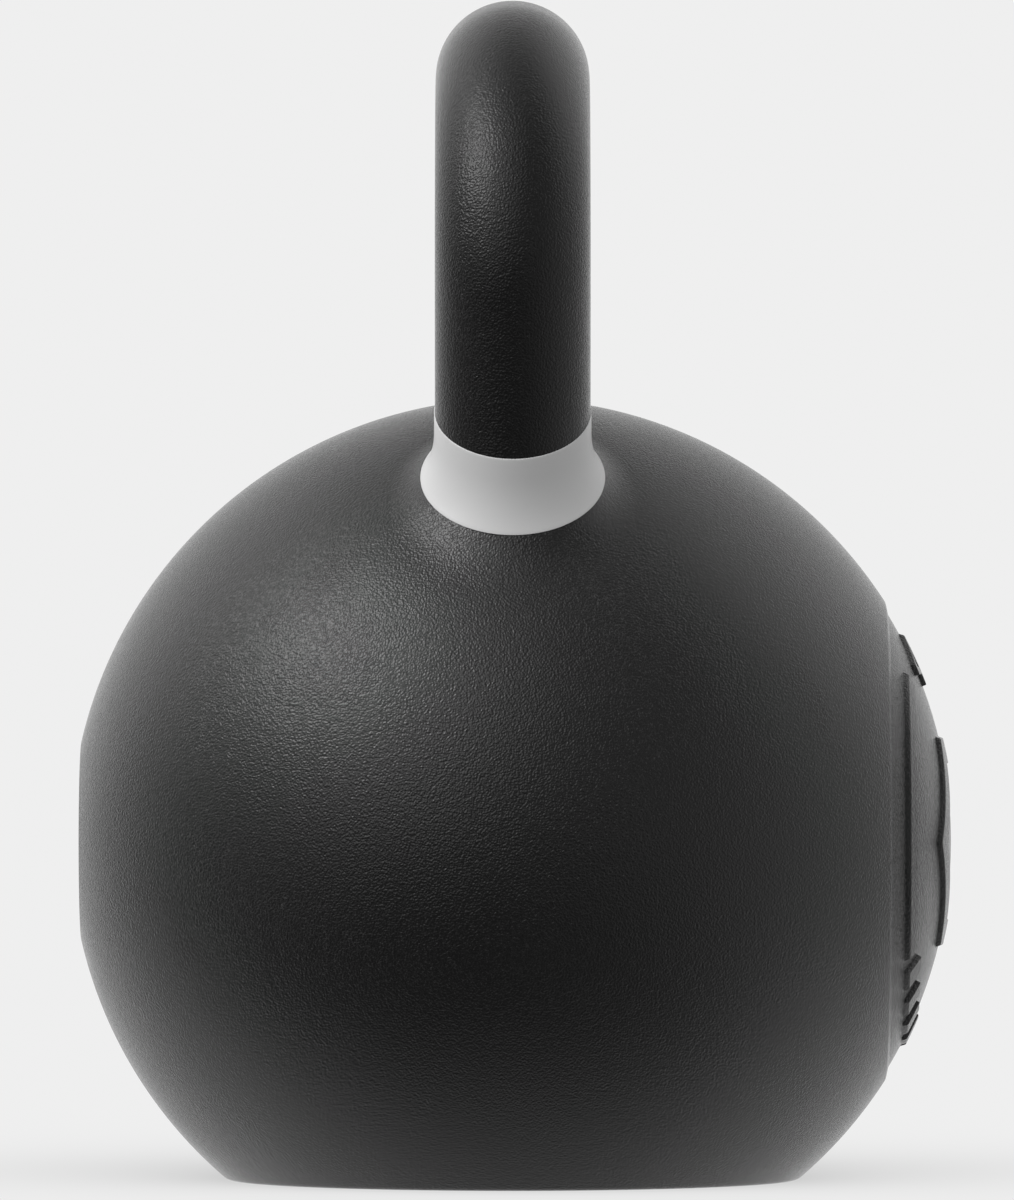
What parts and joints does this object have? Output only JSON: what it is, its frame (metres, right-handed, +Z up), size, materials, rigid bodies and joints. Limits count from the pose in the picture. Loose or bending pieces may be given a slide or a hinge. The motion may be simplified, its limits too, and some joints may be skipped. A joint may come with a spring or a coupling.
{
  "type": "kettlebell",
  "caption": "Cast iron kettlebell: round ball on a flat base, thick arched handle with pale colour bands at its feet, shallow round roundel on the front.",
  "frame": {"origin": "centre of the flat base that the kettlebell stands on", "axes": "+Z up; the handle's grip spans X; -Y is the front, where the roundel is, and +Y the back, where the small flat is"},
  "size_m": [0.2198, 0.2161, 0.2928],
  "materials": {
    "coated_iron": "black textured powder coat, fine leathery grain",
    "band_paint": "smooth pale grey paint, satin"
  },
  "bodies": {
    "root": {"ball": "coated_iron", "handle": "coated_iron", "front_roundel": "coated_iron", "left_colour_band": "band_paint", "right_colour_band": "band_paint"}
  },
  "joints": []
}
